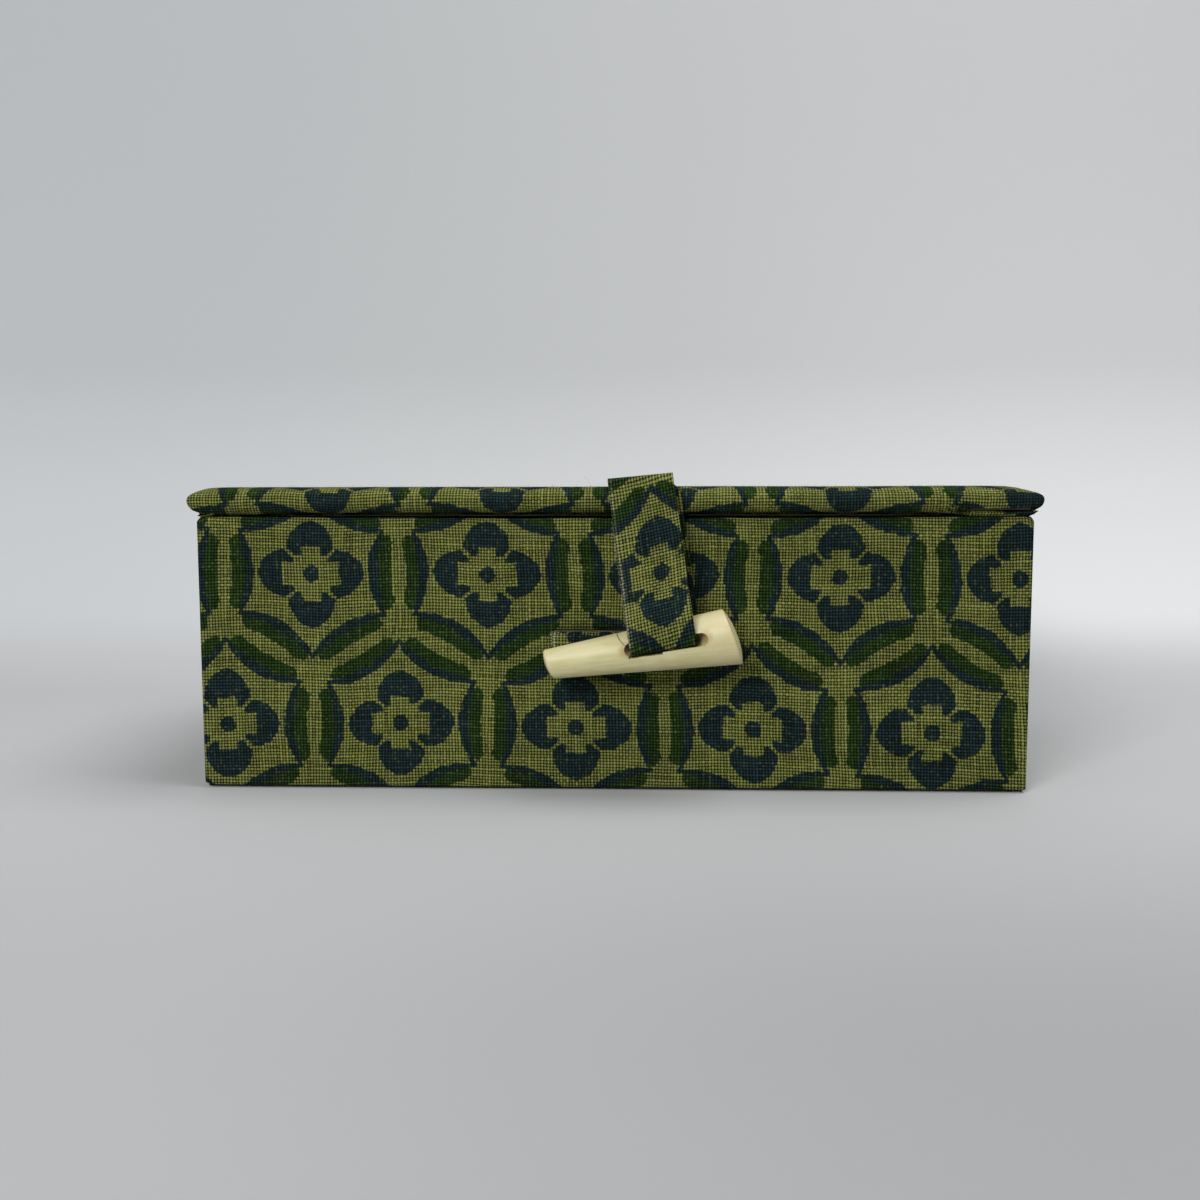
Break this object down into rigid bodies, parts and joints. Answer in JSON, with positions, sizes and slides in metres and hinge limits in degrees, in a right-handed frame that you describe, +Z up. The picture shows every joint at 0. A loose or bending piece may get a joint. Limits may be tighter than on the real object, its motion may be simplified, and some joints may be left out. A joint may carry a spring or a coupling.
{
  "type": "sewing attachment box",
  "caption": "Cloth-covered card box with a padded lid hinged in cloth at the back and a strap with a bone toggle at the front.",
  "frame": {"origin": "middle of the base where it stands on the table", "axes": "+X to the right seen from the front, +Y towards the hinge at the back, +Z up"},
  "size_m": [0.1934, 0.1152, 0.0726],
  "materials": {
    "printed_cloth": "matte",
    "cotton_lining": "matte",
    "grey_board": "matte",
    "brown_paper": "matte",
    "base_paper": "matte",
    "wadding": "matte",
    "bone": "satin"
  },
  "bodies": {
    "box": {"base_board": "grey_board", "front_board": "grey_board", "back_board": "grey_board", "left_board": "grey_board", "right_board": "grey_board", "corner_stays": "brown_paper", "wall_cover": "printed_cloth", "base_cover": "base_paper", "keeper_loop": "printed_cloth", "floor_lining": "cotton_lining", "front_lining": "cotton_lining", "back_lining": "cotton_lining", "left_lining": "cotton_lining", "right_lining": "cotton_lining", "hinge_cloth_lower": "printed_cloth", "hinge_lining_lower": "cotton_lining"},
    "lid": {"lid_board": "grey_board", "lid_wadding": "wadding", "lid_cover": "printed_cloth", "lid_lining": "cotton_lining", "hinge_cloth_upper": "printed_cloth", "hinge_lining_upper": "cotton_lining", "strap_tail": "printed_cloth"},
    "strap": {"strap_loop": "printed_cloth"},
    "toggle": {"toggle": "bone"}
  },
  "joints": [
    {"name": "lid_hinge", "type": "hinge", "parent": "box", "child": "lid", "pos_m": [0, 0.0506, 0.0635], "axis": [-1, 0, 0], "range_deg": [0, 110]},
    {"name": "strap_swing", "type": "hinge", "parent": "lid", "child": "strap", "pos_m": [0.0073, -0.0532, 0.0714], "axis": [-1, 0, 0], "range_deg": [0, 210]},
    {"name": "toggle_tilt", "type": "hinge", "parent": "strap", "child": "toggle", "pos_m": [0.01262, -0.05754, 0.0358], "axis": [0, -1, 0], "range_deg": [-5, 5]}
  ]
}
